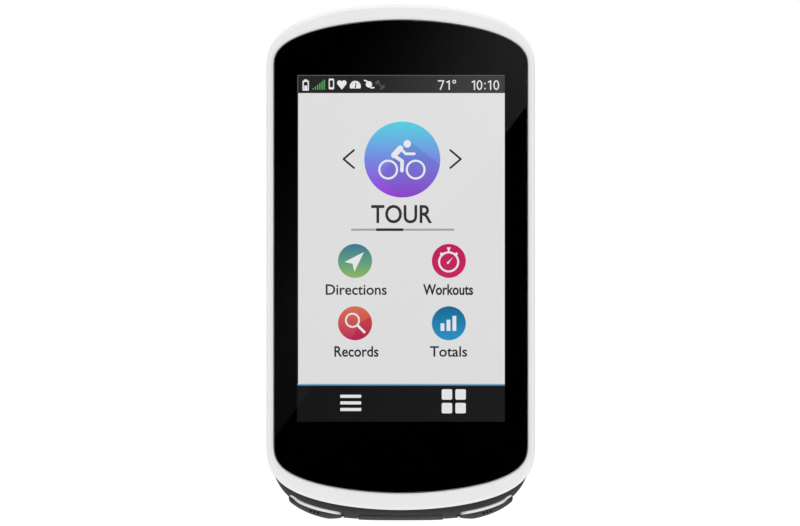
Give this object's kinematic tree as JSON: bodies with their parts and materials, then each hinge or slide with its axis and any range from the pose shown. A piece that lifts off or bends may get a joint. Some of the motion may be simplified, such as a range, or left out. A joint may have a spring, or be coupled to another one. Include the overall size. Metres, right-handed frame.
{
  "type": "cycling computer",
  "caption": "Slim handlebar cycling computer: white bezel, tall touchscreen under black glass, dark rear case with edge keys, rubber port cap and quarter-turn mount.",
  "frame": {"origin": "centre of the quarter-turn mount's flat outer face on the back of the device", "axes": "+Z to the top of the device along its long side, screen facing -Y, +Y out of the back along the mount's axis, +X to the right as the rider sees it"},
  "size_m": [0.059, 0.019, 0.1136],
  "materials": {
    "white_plastic": "satin white moulded bezel",
    "black_glass": "cover glass with a black printed border and a clear window",
    "dark_plastic": "fine moulded texture, dark grey",
    "black_plastic": "glass-filled black nylon",
    "cap_rubber": "soft dark grey silicone",
    "seal_rubber": "silicone",
    "key_rubber": "textured dark grey key",
    "bright_trim": "satin bright metal strip",
    "gold": "gold plated contact",
    "steel": "plain sheet steel",
    "black_steel": "black oxide screw",
    "adhesive": "foam tape",
    "clear_film": "clear film",
    "screen": "lit display panel",
    "light_guide": "clear acrylic light guide",
    "flex": "amber polyimide flex",
    "ceramic": "ceramic antenna",
    "board": "solder mask on glass-epoxy board",
    "foam": "closed-cell foam",
    "cell_wrap": "wrapped lithium cell",
    "white_nylon": "white nylon connector",
    "lead_red": "red insulated lead",
    "lead_black": "black insulated lead"
  },
  "bodies": {
    "case": {"front_bezel": "white_plastic", "cover_glass": "black_glass", "rear_cover": "dark_plastic", "mount_insert": "black_plastic", "contact_block": "black_plastic", "usb_socket": "steel", "card_socket": "steel", "contact_pad_1": "gold", "contact_pad_2": "gold", "contact_pad_3": "gold", "contact_pad_4": "gold", "contact_pad_5": "gold", "case_screw_1": "black_steel", "case_screw_2": "black_steel", "case_screw_3": "black_steel", "case_screw_4": "black_steel", "glass_adhesive": "adhesive", "touch_sensor": "clear_film", "display_panel": "screen", "display_backlight": "light_guide", "display_tray": "steel", "display_flex": "flex", "touch_flex": "flex", "light_sensor": "black_plastic", "gps_antenna": "ceramic", "chassis_frame": "black_plastic", "case_seal": "seal_rubber", "main_board": "board", "processor_shield": "steel", "radio_shield": "steel", "radio_antenna": "flex", "pressure_sensor": "steel", "beeper": "black_plastic", "vent_membrane": "foam", "battery_pack": "cell_wrap", "battery_pad": "foam", "battery_plug": "white_nylon", "battery_lead_red": "lead_red", "battery_lead_black": "lead_black", "port_board": "board", "port_flex": "flex", "start_button_seal": "seal_rubber", "lap_button_seal": "seal_rubber", "power_button_seal": "seal_rubber", "start_switch": "steel", "lap_switch": "steel", "power_switch": "steel", "start_switch_board": "board", "lap_switch_board": "board", "power_switch_board": "board", "board_screw_1": "steel", "board_screw_2": "steel", "board_screw_3": "steel", "board_screw_4": "steel"},
    "start_key": {"start_button": "key_rubber", "start_button_trim": "bright_trim"},
    "lap_key": {"lap_button": "key_rubber", "lap_button_trim": "bright_trim"},
    "power_key": {"power_button": "key_rubber"},
    "cap": {"weather_cap": "cap_rubber"}
  },
  "joints": [
    {"name": "start_press", "type": "slide", "parent": "case", "child": "start_key", "axis": [-0.309, 0, 0.9511], "range_m": [0, 0.00045], "stiffness_N_per_m": 1500},
    {"name": "lap_press", "type": "slide", "parent": "case", "child": "lap_key", "axis": [0.309, 0, 0.9511], "range_m": [0, 0.00045], "stiffness_N_per_m": 1500},
    {"name": "power_press", "type": "slide", "parent": "case", "child": "power_key", "axis": [1, 0, 0], "range_m": [0, 0.00045], "stiffness_N_per_m": 1500},
    {"name": "cap_hinge", "type": "hinge", "parent": "case", "child": "cap", "pos_m": [0, -0.0056, -0.06129], "axis": [1, 0, 0], "range_deg": [0, 100]}
  ]
}
